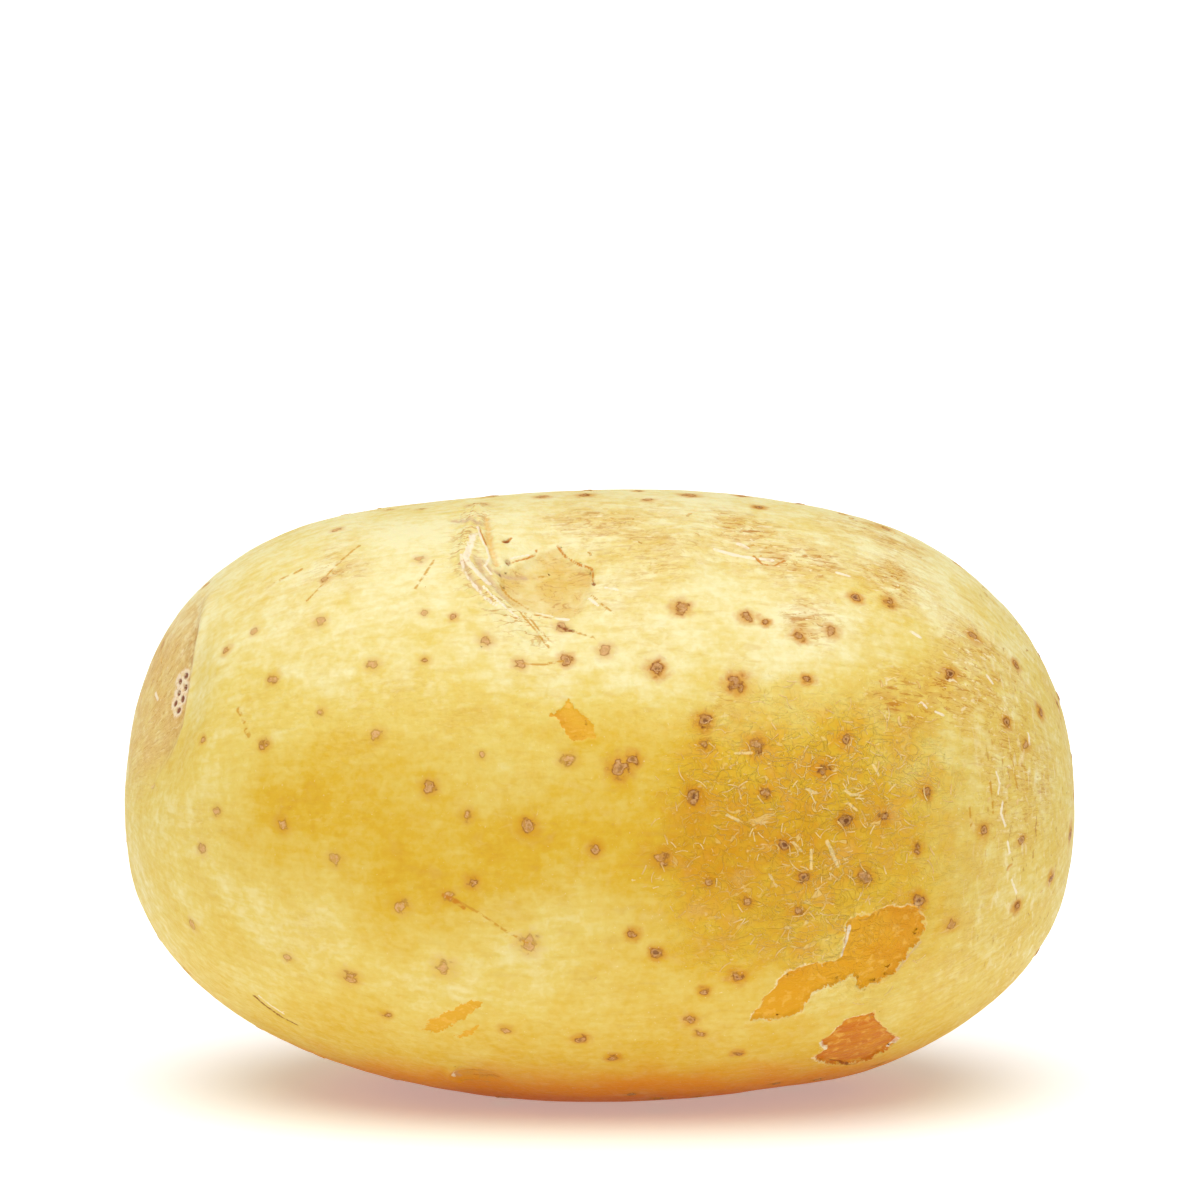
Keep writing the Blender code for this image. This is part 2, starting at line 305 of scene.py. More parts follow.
# Folds, grooves, papery shreds and cracks of the skin: (kind, width in mm, line in mm).
STROKES = [
    # The big eye: its brow, the shreds of dried skin on it, and the wrinkles that run down from it.
    ("fold", 1.1, [(-12.9, 30), (-14, 27.1), (-14.5, 24.5), (-12.9, 21.8), (-10.3, 19.1), (-6.8, 16.6)]),
    ("paper", 0.42, [
        (-13.3, 26.9), (-13.7, 25.6), (-14.1, 24.3), (-13.5, 23.4), (-12.7, 22.6), (-11.8, 21.9),
    ]),
    ("paper", 0.16, [
        (-12.9, 27.8), (-12.5, 26.5), (-11.9, 25.6), (-11.7, 24.6), (-12.2, 23.8), (-11.5, 23),
    ]),
    ("paper", 0.14, [(-14.6, 24.6), (-14.4, 23.2), (-13.3, 21.6), (-12, 20.2), (-10.9, 19.4)]),
    ("paper", 0.12, [(-12.4, 21.4), (-10.9, 19.9), (-9.4, 18.7), (-8.6, 18.1)]),
    ("pink", 0.55, [(-13, 24.6), (-12.5, 23.3), (-11.4, 21.9), (-10.2, 20.8)]),
    ("pink", 0.4, [(-14.4, 23.9), (-13.8, 22.5), (-12.6, 21.1)]),
    ("pink", 0.5, [(-15.4, 28.6), (-14.1, 28.4), (-12.8, 28.2)]),
    ("pink", 0.35, [(-12.3, 24.4), (-11.5, 23.4), (-9.8, 22.9), (-7.8, 22.8)]),
    ("groove", 0.5, [(-12, 29), (-11.8, 27.2), (-11.5, 25.6), (-10.9, 24.1)]),
    ("crack", 0.12, [(-12.9, 27.9), (-12.4, 26.9), (-12, 26.1)]),
    ("crack", 0.22, [(-10.2, 26.5), (-9.4, 26.8)]),
    ("crack", 0.15, [(-9.7, 24.2), (-8.7, 24.4), (-7.6, 24.7), (-6.9, 25.1), (-6.7, 25.6)]),
    ("paper", 0.13, [(-9.4, 24.6), (-8.6, 24.8), (-7.6, 25)]),
    ("crack", 0.14, [(-4.5, 26.1), (-3.6, 24.9), (-2.1, 24.1), (-0.9, 23.7), (-0.7, 22.4)]),
    ("dark", 0.22, [(-0.8, 22.2), (-0.6, 22)]),
    ("ochre", 0.24, [(-6.9, 22.9), (-5.6, 23.1)]),
    ("ochre", 0.14, [(-10.8, 22.3), (-9.4, 20.8), (-7.6, 19.6)]),
    ("crack", 0.16, [(-7, 18.8), (-5.1, 18.4)]),
    ("paper", 0.13, [(-6.8, 19.1), (-5, 18.7)]),
    ("paper", 0.3, [(-4.6, 18.4), (-3.4, 18.3)]),
    ("dark", 0.22, [(-4.4, 17.6), (-3.6, 17.2), (-2.8, 17.1)]),
    ("ochre", 0.13, [(-2.8, 17), (-0.8, 16.4)]),
    ("ochre", 0.12, [(-8.7, 19.3), (-7.2, 17.2), (-5.4, 15.3)]),
    ("ochre", 0.1, [(-7.9, 18.9), (-6.6, 17.2), (-5.2, 15.9)]),
    ("ochre", 0.1, [(-0.9, 20.8), (0.3, 19.8), (1.4, 19)]),
    ("paper", 0.18, [(-1.2, 20.5), (-0.2, 19.7)]),
    ("paper", 0.16, [(0.6, 21.6), (1.9, 21.4)]),
    # The smaller eye towards the rose end, with a crescent of loose skin.
    ("paper", 0.34, [(12.1, 25.6), (14.1, 25), (16.2, 24.6)]),
    ("paper", 0.32, [(14.6, 26.2), (15.5, 25.7)]),
    ("paper", 0.3, [(17, 24.6), (18.2, 24.4)]),
    ("crack", 0.2, [(16.2, 24.9), (17.1, 24.1), (18.4, 23.9), (19.6, 24.5)]),
    ("ochre", 0.22, [(15.2, 25.7), (16.2, 26.1), (17.5, 25.8)]),
    # A gash low down, and fine cracks between lenticels.
    ("dark", 0.22, [(-36.5, -21.5), (-35.2, -22.6), (-33.7, -23.7), (-32, -24.6)]),
    ("paper", 0.14, [(-36, -21.4), (-34.6, -22.5), (-33.4, -23.3)]),
    ("ochre", 0.12, [(-15.3, -11.3), (-12.6, -12.8), (-10, -14.6), (-7.6, -15.9)]),
    ("crack", 0.3, [(-16.5, -10.9), (-15.3, -11.5), (-14.4, -12.2)]),
    ("ochre", 0.12, [(-8.4, 13.6), (-6, 13.4), (-3.6, 14)]),
    ("ochre", 0.18, [(-29, 22.8), (-27.2, 24.6), (-25.4, 26)]),
    ("ochre", 0.15, [(-31, 20.2), (-29.2, 22)]),
    ("ochre", 0.14, [(-19.5, 21.5), (-18.6, 22.8), (-17.5, 24.4)]),
    # Lifted and scratched skin towards the rose end.
    ("paper", 0.11, [(41.8, 2.2), (42.2, 0.9), (42, -0.2)]),
    ("paper", 0.14, [(42.5, -1), (42.3, -2.2), (42.8, -3.6)]),
    ("paper", 0.1, [(43, -5.2), (43.2, -6.4)]),
    ("paper", 0.1, [(43.4, -9.2), (43.9, -10.6)]),
    ("paper", 0.09, [(45.2, 6.2), (45.4, 5)]),
    ("ochre", 0.14, [(41.2, 1), (41.5, -2.2)]),
    ("ochre", 0.12, [(43.6, 3.4), (44.1, 0.4)]),
    ("ochre", 0.12, [(38.9, -1), (39.2, -3.6)]),
    ("pink", 0.18, [(33.8, -15.8), (32.5, -17.2), (31.3, -18.8)]),
    ("paper", 0.2, [(25.5, -17.2), (26.1, -15.6), (26.4, -14.2)]),
    ("dark", 0.14, [(24.4, -28.5), (26.3, -28.7), (28, -28.4)]),
    ("paper", 0.2, [(23.8, -27), (23.2, -26.3)]),
    ("paper", 0.22, [(30.4, -26.9), (31.5, -25.9)]),
    ("paper", 0.26, [(25, 23.1), (26.3, 22.7)]),
    ("paper", 0.24, [(32.8, 16.9), (33.8, 16.3)]),
    ("paper", 0.22, [(40.9, 12.3), (41.5, 11.5)]),
    ("paper", 0.2, [(35.4, 8.5), (36.2, 8.1)]),
    ("paper", 0.18, [(33.9, 9.5), (34.5, 8.9)]),
    # Larger slivers of skin that still cling where it was scuffed.
    ("sliver", 0.26, [(24, -5.2), (25.1, -7.8)]),
    ("sliver", 0.15, [(20.4, -5.3), (21.3, -6.2)]),
    ("sliver", 0.14, [(22.3, -6.1), (22.3, -8.1)]),
    ("sliver", 0.14, [(26.2, -1.1), (27.1, -1.9)]),
    ("sliver", 0.14, [(21.7, 0.4), (22.9, -0.1)]),
    ("sliver", 0.12, [(25.9, 0.2), (26.5, -0.3), (27.3, -0.2)]),
    ("sliver", 0.15, [(13.4, -2.4), (14.6, -3)]),
    ("sliver", 0.14, [(14.2, 4.1), (16, 4.2)]),
    ("sliver", 0.13, [(17.9, -8.7), (18.6, -9.9)]),
    ("sliver", 0.13, [(28.8, 2.9), (29.4, 1.8)]),
    # Creased skin and ochre flecks round the stem end.
    ("ochre", 0.34, [(-38.2, 8.8), (-38, 8.3)]),
    ("ochre", 0.26, [(-37.7, 7.7), (-37.6, 7.4)]),
    ("ochre", 0.36, [(-37.4, 6.6), (-37.2, 6)]),
    ("ochre", 0.3, [(-35.2, 21.7), (-34.5, 22.1)]),
    ("ochre", 0.3, [(-33.7, 22.5), (-33, 22.9)]),
    ("ochre", 0.26, [(-32.3, 23.2), (-31.6, 23.6)]),
    ("paper", 0.3, [(-46.8, 10.4), (-46.6, 9.8)]),
]
strokes = [(kind, width, on_skin(line)) for kind, width, line in STROKES]

# The eyes on the other sides: (degrees round, degrees to the front, size). Each has a brow, shreds and
# a bud.
HIDDEN_EYES = [
    (62, -38, 0.9), (118, -40, 0.8), (150, -75, 0.7), (40, -78, 0.9), (16, -20, 0.7),
    (212, -30, 0.8), (300, -45, 0.7), (245, 30, 0.5),
]
EYE_STROKES = [
    ("fold", 1.2, [(-5.2, 4.6), (-6.3, 2), (-6.5, -0.5), (-5.9, -3), (-4.4, -5.2)]),
    ("paper", 0.3, [(-5, 2.6), (-5.5, 0.4), (-5.1, -1.8)]),
    ("pink", 0.45, [(-4.4, 1.6), (-4.8, -0.4), (-3.9, -2.4)]),
    ("crack", 0.24, [(-1, -2.4), (1.6, -2), (4.2, -0.4)]),
    ("ochre", 0.14, [(-3.6, -4.2), (-0.9, -5), (2.2, -4.9)]),
]
BUD = (-1.4, 0.4)
EYE_FLOOR = [(-4.2, 0.5), (-2.5, 2.6), (1, 2.8), (4, 0.6), (3.6, -2.2), (0.5, -3.6), (-3.2, -2.9)]
BIG_EYE_FLOOR = [
    (-10.9, 23.4), (-9.4, 23.7), (-7.9, 24), (-6.5, 25), (-4.5, 25.7), (-3.6, 24.6), (-2.1, 24),
    (-0.8, 23.5), (-0.7, 22.1), (-1.2, 20.8), (-1.9, 19.3), (-3.2, 18.5), (-5, 18.6), (-7.2, 19),
    (-9.1, 19.4), (-10.4, 20.8),
]
buds = [in_mm([seen_at(-9.9, 26.6)])[0], in_mm([seen_at(-9.7, 24.3)])[0]]
eye_floors = [on_skin(BIG_EYE_FLOOR)]
for turn, lean, size in HIDDEN_EYES:
    place = local_map(facing(turn, lean))
    for kind, width, line in EYE_STROKES:
        strokes.append((kind, width * size, in_mm([place(x * size, y * size) for x, y in line])))
    buds.append(in_mm([place(BUD[0] * size, BUD[1])])[0])
    eye_floors.append(in_mm([place(x * size, y * size) for x, y in EYE_FLOOR]))
buds = np.array(buds)

# The stem end: the crisp front rim of the hollow, and the uneven line of pits where the stolon broke off.
HOLLOW_RIM = [
    (-41.2, 20.6), (-41.9, 18.6), (-42.5, 16), (-43, 13), (-43.5, 10), (-44.1, 7), (-45.2, 4),
    (-46.6, 1.4),
]
STEM_PITS = [
    (-43.9, 12.3), (-44.4, 11.7), (-44, 11.1), (-44.6, 10.5), (-44.3, 9.9), (-44.9, 9.4), (-44.7, 8.7),
]
hollow_rim = on_skin(HOLLOW_RIM)
stem_scar = on_skin(STEM_PITS)


def bell(distance, spread):
    """1 at no distance, falling off smoothly as it grows."""
    return np.exp(-((distance / spread) ** 2))


def ease(value, low, high):
    """0 below low, 1 above high, and a smooth climb between them."""
    share = np.clip((value - low) / (high - low), 0, 1)
    return share * share * (3 - 2 * share)


def line_distance(points, line):
    """Each point's distance from a line of straight runs."""
    nearest = np.full(len(points), np.inf)
    for start, end in zip(line[:-1], line[1:]):
        run = end - start
        share = np.clip((points - start) @ run / (run @ run), 0, 1)
        nearest = np.minimum(nearest, np.linalg.norm(points - start - share[:, None] * run, axis=1))
    return nearest


FAR = 9.0  # stands for any distance that is too great to matter, in mm or in radii
OUTLINE_REACH = 6  # mm round an outline within which distances from it are worked out


def outline_distance(points, outline):
    """Each point's distance from an outline on the skin, less than 0 inside it."""
    centre = outline.mean(axis=0)
    outward = np.cross(outline - centre, np.roll(outline, -1, axis=0) - centre).sum(axis=0)
    outward /= np.linalg.norm(outward)
    side = np.cross(outward, (0, 0, 1))
    side /= np.linalg.norm(side)
    plane = np.stack([side, np.cross(outward, side)], axis=1)
    flat, ring = (points - centre) @ plane, (outline - centre) @ plane
    reach = np.linalg.norm(ring, axis=1).max() + OUTLINE_REACH
    near = np.nonzero(np.linalg.norm(points - centre, axis=1) < reach)[0]
    spots = flat[near]
    distance, inside = line_distance(spots, np.vstack([ring, ring[:1]])), np.zeros(len(near), bool)
    for start, end in zip(ring, np.roll(ring, -1, axis=0)):
        run = end - start
        crosses = (start[1] > spots[:, 1]) != (end[1] > spots[:, 1])
        height = np.where(abs(run[1]) < 1e-9, 1e-9, run[1])
        inside ^= crosses & (spots[:, 0] < start[0] + (spots[:, 1] - start[1]) * run[0] / height)
    result = np.full(len(points), FAR)
    result[near] = np.where(inside, -distance, distance)
    return result


def pore_distance(points):
    """Each point's distance from its nearest lenticel in that lenticel's radii, and which one it is."""
    best, owner = np.full(len(points), FAR), np.zeros(len(points), int)
    for number, (centre, radius) in enumerate(zip(pore_centres, pore_radii)):
        reach = np.linalg.norm(points - centre, axis=1) / radius
        closer = reach < best
        best[closer], owner[closer] = reach[closer], number
    return best, owner


def cloud(points, size, seed, stretch=(1, 1, 1)):
    """Smooth noise from about -1 to 1, with lumps of this many mm, drawn out along the axes by stretch.

    Each corner of a grid has a slope, mixed from its place and the seed, and a point blends the slopes of
    the eight corners round it.
    """
    place = points / (size * np.array(stretch)) + 17.3 * seed
    cell = np.floor(place)
    local = place - cell
    eased = local**3 * (local * (local * 6 - 15) + 10)
    total = np.zeros(len(points))
    for corner in np.ndindex(2, 2, 2):
        at = (cell + corner).astype(np.int64)
        mixed = (at[:, 0] * 73856093) ^ (at[:, 1] * 19349663) ^ (at[:, 2] * 83492791) ^ (seed * 26544357)
        mixed = ((mixed ^ (mixed >> 13)) & 0x7FFFFFFF) * 1274126177 & 0x7FFFFFFF
        mixed ^= mixed >> 15
        slopes = np.stack([mixed & 1023, (mixed >> 10) & 1023, (mixed >> 20) & 1023], axis=1) / 511.5 - 1
        share = np.prod(np.where(corner, eased, 1 - eased), axis=1)
        total += share * ((local - corner) * slopes).sum(axis=1)
    return 1.6 * total


# How close together the mesh's points lie, in mm: closest where the relief is finest.
PLAIN_SPACING = 0.95
EYE_SPACING = 0.45
STROKE_SIDE_SPACING = 0.35
PORE_SPACING = 0.32
FINEST_SPACING = 0.22
LONGEST_EDGE = 1.35  # an edge of more than this many spacings is split
MOST_PASSES = 5
# How far round a feature its finer mesh reaches, in mm, and for a lenticel in its own radii.
PORE_REACH = 1.6
STEM_END_REACH = 11
EYE_FLOOR_REACH = 1.5
TEAR_REACH = 0.9
TEAR_EDGE_REACH = 0.6
SCAR_REACH = 1.4
RIM_REACH = 1.2


def wanted_spacing(points):
    """How close together the mesh's points should lie at each of these places."""
    spacing = np.full(len(points), PLAIN_SPACING)
    spacing[pore_distance(points)[0] < PORE_REACH] = PORE_SPACING
    spacing[np.linalg.norm(points - stem_scar.mean(axis=0), axis=1) < STEM_END_REACH] = EYE_SPACING
    for floor in eye_floors:
        spacing[outline_distance(points, floor) < EYE_FLOOR_REACH] = EYE_SPACING
    for _depth, outline in tears:
        distance = outline_distance(points, outline)
        near = distance < TEAR_REACH
        spacing[near] = np.minimum(spacing[near], EYE_SPACING)
        spacing[abs(distance) < TEAR_EDGE_REACH] = FINEST_SPACING
    for _kind, width, line in strokes:
        distance = line_distance(points, line)
        near = distance < 1.2 * width + 0.4
        spacing[near] = np.minimum(spacing[near], STROKE_SIDE_SPACING)
        spacing[distance < min(0.5, width + 0.15)] = FINEST_SPACING
    spacing[line_distance(points, stem_scar) < SCAR_REACH] = FINEST_SPACING
    spacing[line_distance(points, hollow_rim) < RIM_REACH] = FINEST_SPACING
    return spacing


skin_shape = rounded_body(1)
bmesh.ops.triangulate(skin_shape, faces=skin_shape.faces[:])
for _ in range(MOST_PASSES):
    edges = skin_shape.edges[:]
    middles = in_mm([(edge.verts[0].co + edge.verts[1].co) / 2 for edge in edges])
    lengths = np.array([edge.calc_length() for edge in edges]) / MM
    too_long = np.nonzero(lengths > LONGEST_EDGE * wanted_spacing(middles))[0]
    if not len(too_long):
        break
    bmesh.ops.subdivide_edges(skin_shape, edges=[edges[number] for number in too_long], cuts=1)
    bmesh.ops.triangulate(skin_shape, faces=[face for face in skin_shape.faces if len(face.verts) > 3])
for corner in skin_shape.verts:
    corner.co = smooth_tree.find_nearest(corner.co)[0]
skin_mesh = bpy.data.meshes.new("tuber_skin")
skin_shape.to_mesh(skin_mesh)
skin_shape.free()

count = len(skin_mesh.vertices)
points = np.empty(count * 3, np.float32)
skin_mesh.vertices.foreach_get("co", points)
points = points.reshape(-1, 3).astype(float) / MM
normals = np.array([tuple(corner.vector) for corner in skin_mesh.vertex_normals])

# Relief, in mm along the skin's normal, and the masks that the colours use. The whole body is gently
# lumpy, and each end is finely wrinkled.
LUMPS = [(0.15, 14, 1), (0.06, 5, 2), (0.035, 2, 3)]  # (height, size, seed)
END_START, END_FULL = 34, 44  # how far from the middle the wrinkles begin, and are at their full height
END_WRINKLE_HEIGHT = 0.05
END_WRINKLE_SIZE = 1.3
END_WRINKLE_STRETCH = (0.8, 1, 3.5)
lift = sum(height * cloud(points, size, seed) for height, size, seed in LUMPS)
end_share = ease(abs(points[:, 0]), END_START, END_FULL)
lift += END_WRINKLE_HEIGHT * end_share * cloud(points, END_WRINKLE_SIZE, 4, END_WRINKLE_STRETCH)
masks = {}

# A lenticel is a raised, ragged crust of cork with a pit in its middle and a shallow moat round it. Places
# are in its own radii, and heights are for one of the usual radius.
USUAL_PORE_RADIUS = 0.6
CRUST_HEIGHT, CRUST_EDGE, CRUST_SLOPE = 0.09, 1.15, 0.5
PIT_DEPTH, PIT_SPREAD = 0.15, 0.42
MOAT_DEPTH, MOAT_PLACE, MOAT_SPREAD = 0.05, 1.55, 0.45
GRIT_HEIGHT, GRIT_EDGE, GRIT_SLOPE = 0.05, 1.2, 0.3
PORE_DARKENING = (-22, 16)  # across, in mm: the crusts darken from the stem half to the rose half
reach, owner = pore_distance(points)
rough = cloud(points, 0.7, 5)
ragged_reach = 1.08 * reach + 0.30 * cloud(points, 0.9, 6) + 0.16 * rough
pore_size = pore_radii[owner] / USUAL_PORE_RADIUS
crust = CRUST_HEIGHT * ease(CRUST_EDGE - ragged_reach, 0, CRUST_SLOPE)
crust -= PIT_DEPTH * bell(ragged_reach, PIT_SPREAD)
grit = GRIT_HEIGHT * rough * ease(GRIT_EDGE - reach, 0, GRIT_SLOPE)
lift += pore_size * (crust - MOAT_DEPTH * bell(reach - MOAT_PLACE, MOAT_SPREAD) + grit)
masks["pore"] = ragged_reach
darkness = 0.15 + 0.55 * ease(pore_centres[:, 0], *PORE_DARKENING) + 0.5 * (pore_tones - 0.4)
masks["pore_dark"] = np.clip(darkness, 0, 1)[owner]

# A tear is a step down to the flesh, with a ragged edge and a lip of skin that curls up along it. The lip
# shows most along the upper left of a deep tear, in patches.
TEAR_STEP = (-0.02, 0.16)  # from the edge inwards
LIP_CURL = 0.5  # its height as a share of the tear's depth
LIP_SPREAD = 0.22
LIP_DEPTHS = (0.07, 0.16)  # shallower tears have no lip, and deeper ones a full one
UPPER_LEFT_SIZE = 9
DEEP_TEARS = (0.08, 0.2)
DARK_TEARS = (0.22, 0.25)
ragged = 0.36 * cloud(points, 1.3, 7) + 0.24 * cloud(points, 0.55, 8)
torn, torn_depth, lip = np.full(count, FAR), np.zeros(count), np.zeros(count)
patchy = ease(cloud(points, 2.2, 9), -0.35, 0.25)
for depth, outline in tears:
    distance = outline_distance(points, outline) + ragged
    lift -= depth * ease(-distance, *TEAR_STEP)
    lift += LIP_CURL * depth * bell(distance - LIP_SPREAD, LIP_SPREAD)
    closer = distance < torn
    torn[closer], torn_depth[closer] = distance[closer], depth
    offset = points - outline.mean(axis=0)
    upper_left = ease((offset[:, 2] - offset[:, 0]) / UPPER_LEFT_SIZE, -0.6, 0.7)
    lip[closer] = ((0.25 + 0.75 * upper_left) * (0.35 + 0.65 * patchy) * ease(depth, *LIP_DEPTHS))[closer]
masks["torn"] = torn
masks["lip"] = lip
masks["torn_deep"] = ease(torn_depth, *DEEP_TEARS)
masks["torn_dark"] = ease(torn_depth, *DARK_TEARS)

# What each kind of stroke does to the skin's height, in mm, where it is wide enough to have its full height.
STROKE_HEIGHTS = {
    "fold": 0.42, "groove": -0.35, "paper": 0.14, "sliver": 0.10, "crack": -0.05, "dark": -0.18,
    "ochre": -0.03, "pink": -0.10,
}
FULL_HEIGHT_WIDTH = 0.3
FINEST_STROKE = 0.17  # as fine as the mesh there can show
STROKE_SPREAD = 0.8  # of its width
STROKE_WANDER = 0.35  # of its width
stroke_masks = {kind: np.zeros(count) for kind in STROKE_HEIGHTS}
for kind, width, line in strokes:
    distance = line_distance(points, line) + STROKE_WANDER * width * rough
    width = max(width, FINEST_STROKE)
    strength = bell(distance, STROKE_SPREAD * width)
    lift += STROKE_HEIGHTS[kind] * min(1, width / FULL_HEIGHT_WIDTH) * strength
    stroke_masks[kind] = np.maximum(stroke_masks[kind], strength)

# In each eye a bud sits in a small dark pit.
BUD_DEPTH, BUD_SPREAD, BUD_STAIN = 0.35, 0.5, 0.40
for bud in buds:
    distance = np.linalg.norm(points - bud, axis=1) + 0.2 * rough
    lift -= BUD_DEPTH * bell(distance, BUD_SPREAD)
    stroke_masks["dark"] = np.maximum(stroke_masks["dark"], bell(distance, BUD_STAIN))
masks |= {kind: strength for kind, strength in stroke_masks.items() if kind != "fold"}

# Under each brow lies the eye's sunken floor, stained tan, with fine wrinkles beside the big eye's brow.
FLOOR_DEPTH = 0.30
FLOOR_EDGE = (-0.5, 0.6)  # from outside the floor to inside it
WRINKLED_SPREAD = 1.7
WRINKLE_HEIGHT = 0.10
WRINKLE_SPACING = 0.8
floor_share = np.zeros(count)
for floor in eye_floors:
    distance = outline_distance(points, floor) + 0.25 * cloud(points, 2, 10)
    floor_share = np.maximum(floor_share, ease(-distance, *FLOOR_EDGE))
lift -= FLOOR_DEPTH * floor_share
masks["eye_floor"] = floor_share
big_brow = line_distance(points, strokes[0][2])
wrinkled = bell(big_brow, WRINKLED_SPREAD)
lift += WRINKLE_HEIGHT * wrinkled * np.sin(2 * math.pi * big_brow / WRINKLE_SPACING + 2 * rough)
masks["wrinkled"] = wrinkled

# Behind its crisp front rim the stem end's hollow is browner, and most so right against the rim. The rim
# and its crease fade out towards their ends.
RIM_HEIGHT, RIM_SPREAD = 0.20, 1.0
CREASE_DEPTH, CREASE_SPREAD, CREASE_STAIN = 0.42, 2.4, 2.6
HOLLOW_MIDDLE = (-46.2, 10.6)
SCAR_HEIGHT, SCAR_SPREAD = 0.15, 0.85
STEM_PIT_DEPTH, STEM_PIT_RADIUS = 0.38, 0.36
rim = line_distance(points, hollow_rim)
rim_order = np.argsort(hollow_rim[:, 2])
rim_x = np.interp(points[:, 2], hollow_rim[rim_order, 2], hollow_rim[rim_order, 0])
from_rim_middle = abs(points[:, 2] - hollow_rim[:, 2].mean())
rim_softness = 0.4 + 2.4 * ease(from_rim_middle, 5, 10)
behind_rim = ease((rim_x - points[:, 0]) / rim_softness, -0.5, 1)
crease = behind_rim * bell(rim, CREASE_SPREAD) * ease(from_rim_middle, 12, 6)
lift += RIM_HEIGHT * bell(rim, RIM_SPREAD) - CREASE_DEPTH * crease
masks["crease"] = behind_rim * bell(rim, CREASE_STAIN) * ease(from_rim_middle, 11, 6)
stem_reach = np.linalg.norm(points - in_mm([seen_at(*HOLLOW_MIDDLE)])[0], axis=1)
masks["stem"] = ease(stem_reach, 13, 5) * behind_rim
pit_reach = np.min([np.linalg.norm(points - pit, axis=1) for pit in stem_scar], axis=0) + 0.14 * rough
masks["scar"] = bell(line_distance(points, stem_scar) + 0.2 * rough, SCAR_SPREAD)
masks["pits"] = bell(pit_reach, STEM_PIT_RADIUS)
lift += SCAR_HEIGHT * masks["scar"] - STEM_PIT_DEPTH * masks["pits"]

# Broad colour, as (across, up, spread, amount): how golden the skin is, where it is russeted with cork,
# and where it is scuffed into fine shreds.
GOLDEN = [
    (-31, -2, 8, 0.22), (-21, -2, 7, 0.22), (-21, -11, 5, 0.18), (-10, -6, 7, 0.24), (1, -5, 6, 0.16),
    (0, 4, 6, 0.14), (11, 1, 7, 0.32), (11, -8, 7, 0.28), (21, -4, 8, 0.38), (31, -3, 7, 0.24),
    (22, 6, 6, 0.22), (32, 10, 6, 0.2), (12, -18, 7, 0.3), (21, -12, 7, 0.22), (33, -12, 6, 0.18),
    (-10, 22, 6, 0.1), (30, 21, 5, 0.14), (-18, 11, 6, 0.06),
]
RUSSETED = [
    (6, 26, 6, 0.4), (15, 27.5, 3.5, 0.9), (22, 24.5, 3.5, 1), (30.5, 22.5, 3.2, 1), (29, 27.6, 4, 0.9),
    (36, 11.3, 3.8, 1), (31, 9.7, 2.6, 0.9), (23.2, 17.5, 2.8, 0.9), (39, 16, 3.5, 0.7), (43, 8, 6, 0.55),
    (40, -14, 8, 0.3), (-28, 24, 3, 0.5), (1, 29, 5, 0.5), (-4, 11, 2, 0.2), (14, 11, 2.2, 0.7),
    (45, 0, 6, 0.45),
]
SCUFFED = [
    (20, -3, 9, 0.9), (26, -6, 7, 0.8), (12, 3, 5, 0.5), (24, 4, 6, 0.8), (24, -13, 5, 0.8), (33, 3, 6, 0.6),
    (10, -10, 6, 0.35), (14, -16, 5, 0.4), (38, -8, 5, 0.3), (28, -18, 7, 0.4),
]
# On the hidden sides: (degrees round, degrees to the front, spread, amount).
HIDDEN_RUSSET = [
    (80, -55, 14, 0.8), (30, -50, 12, 0.9), (340, -30, 12, 0.7), (200, -70, 10, 0.6), (130, -20, 9, 0.5),
]
HIDDEN_SCUFFS = [(100, -75, 12, 0.6), (300, -70, 12, 0.7)]
PATCH_WARP = 2.6  # mm that the patches' outlines wander
warp = np.stack([cloud(points, 6, seed) for seed in (21, 22, 23)], axis=1) * PATCH_WARP


def patches(spots, locate=seen_at):
    """The sum of these soft round patches at each point."""
    total = np.zeros(count)
    for first, second, spread, amount in spots:
        centre = in_mm([locate(first, second)])[0]
        total += amount * bell(np.linalg.norm(points + warp - centre, axis=1), spread)
    return total


# The gold is paler towards the top, a painted highlight for the sheen of the overhead softbox, and deeper
# low down, painted warm bounce light from the table; on the hidden sides it comes in broad clouds.
rise = points[:, 2] - middle.z / MM
hidden = ease(points[:, 1], -4, 12)
gold = 0.30 - 0.20 * ease(rise, 8, 22)
gold += hidden * (0.22 + 0.35 * cloud(points, 15, 24)) * ease(25 - rise, 0, 12)
gold += 0.20 * ease(-rise, 14, 26)
russet = 0.45 * masks["stem"] + patches(RUSSETED) + patches(HIDDEN_RUSSET, facing)
masks["golden"] = np.clip(gold + patches(GOLDEN) + 0.07 * cloud(points, 9, 25), 0, 1)
masks["russet"] = np.clip(russet + 0.15 * cloud(points, 7, 26), 0, 1)
masks["scuffed"] = np.clip(patches(SCUFFED) + patches(HIDDEN_SCUFFS, facing), 0, 1)
masks["thready"] = masks["scuffed"] * ease(torn, 0.1, 0.5) * ease(reach, 0.9, 1.3)
# Painted warm bounce light: low down the skin is coloured deep orange, standing in for the light the white
# table throws back onto the underside.
masks["underside"] = ease(8.2 + 1.3 * cloud(points, 5, 27) - points[:, 2], 0, 5.5)
# Painted contact shade: just above the resting spot the orange darkens, standing in for the shadow where the
# tuber meets the table.
masks["painted_contact_shade"] = ease(3.4 - points[:, 2], 0, 2.6)
masks["busy"] = 0.45 + 0.55 * ease(points[:, 0], -20, 12)
masks["rose_end"] = ease(points[:, 0], 34, 43)

# Where each point lies along the tuber's growth and round its girth, for grain that follows its length.
girth = np.linalg.norm(points[:, 1:] - [0, middle.z / MM], axis=1)
GIRTH_RADIUS = 32.0
LENGTH_ALONG_SIDE = 130.0  # from one end to the other along the skin
along = np.arctan2(points[:, 0] / (cad_high.x / MM), girth / GIRTH_RADIUS) / math.pi * LENGTH_ALONG_SIDE
round_girth = (points[:, 1:] - [0, middle.z / MM]) / np.maximum(girth, 0.1)[:, None] * GIRTH_RADIUS
grown = np.column_stack([along, round_girth]) * MM

